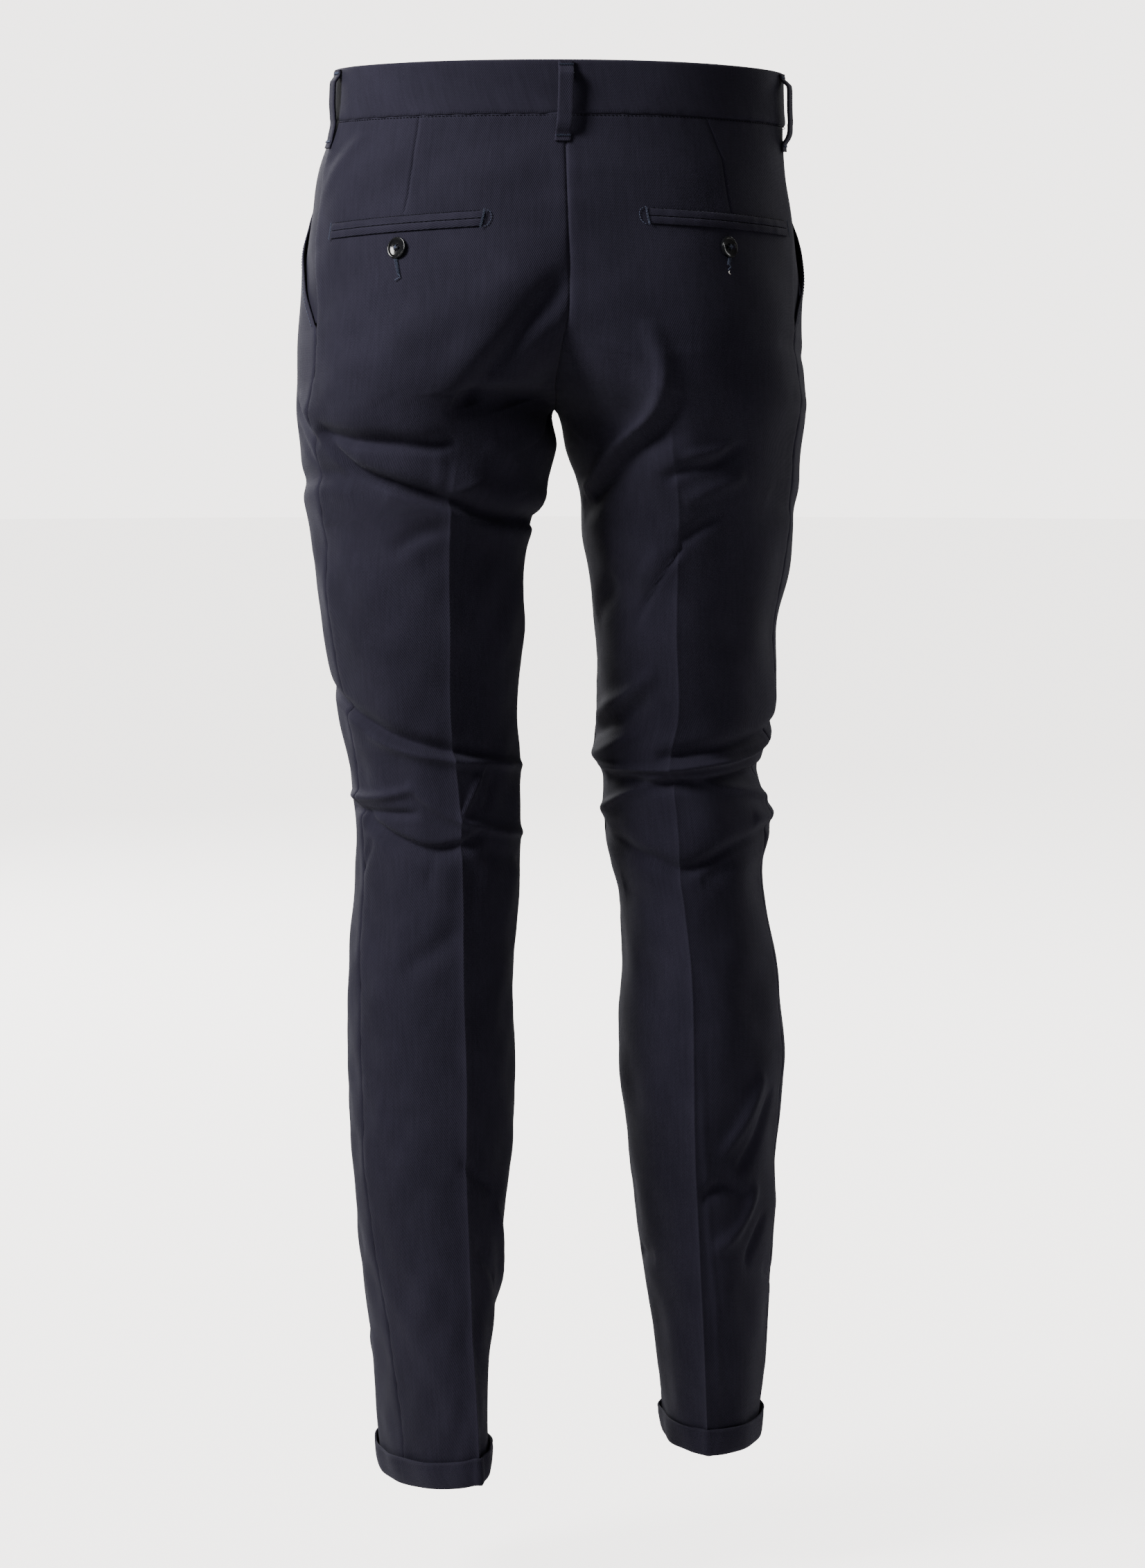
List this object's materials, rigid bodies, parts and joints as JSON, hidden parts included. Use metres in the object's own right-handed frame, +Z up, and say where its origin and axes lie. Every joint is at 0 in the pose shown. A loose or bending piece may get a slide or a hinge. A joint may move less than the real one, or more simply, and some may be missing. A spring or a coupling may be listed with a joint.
{
  "type": "trousers",
  "caption": "Hollow chino trousers in a standing pose, with a fly front, belt loops, slant side pockets, buttoned welt back pockets and turned-up cuffs.",
  "frame": {"origin": "centre of the waist opening, level with the waistband's top edge near the back, where the wearer's waist holds the trousers", "axes": "+Z up out of the waist, +Y to the back, +X to the wearer's left"},
  "size_m": [0.3636, 0.2662, 1.0228],
  "materials": {
    "cloth": "matte cotton twill",
    "button": "satin"
  },
  "bodies": {
    "root": {"waistband": "cloth", "back_left": "cloth", "front_left": "cloth", "pocket_facing_left": "cloth", "welt_upper_left": "cloth", "welt_lower_left": "cloth", "cuff_left": "cloth", "back_right": "cloth", "front_right": "cloth", "pocket_facing_right": "cloth", "welt_upper_right": "cloth", "welt_lower_right": "cloth", "cuff_right": "cloth", "fly": "cloth", "belt_loop_back": "cloth", "belt_loop_side_left": "cloth", "belt_loop_side_right": "cloth", "belt_loop_front_left": "cloth", "belt_loop_front_right": "cloth", "button_back_left": "button", "button_back_right": "button", "button_waist": "button"}
  },
  "joints": []
}
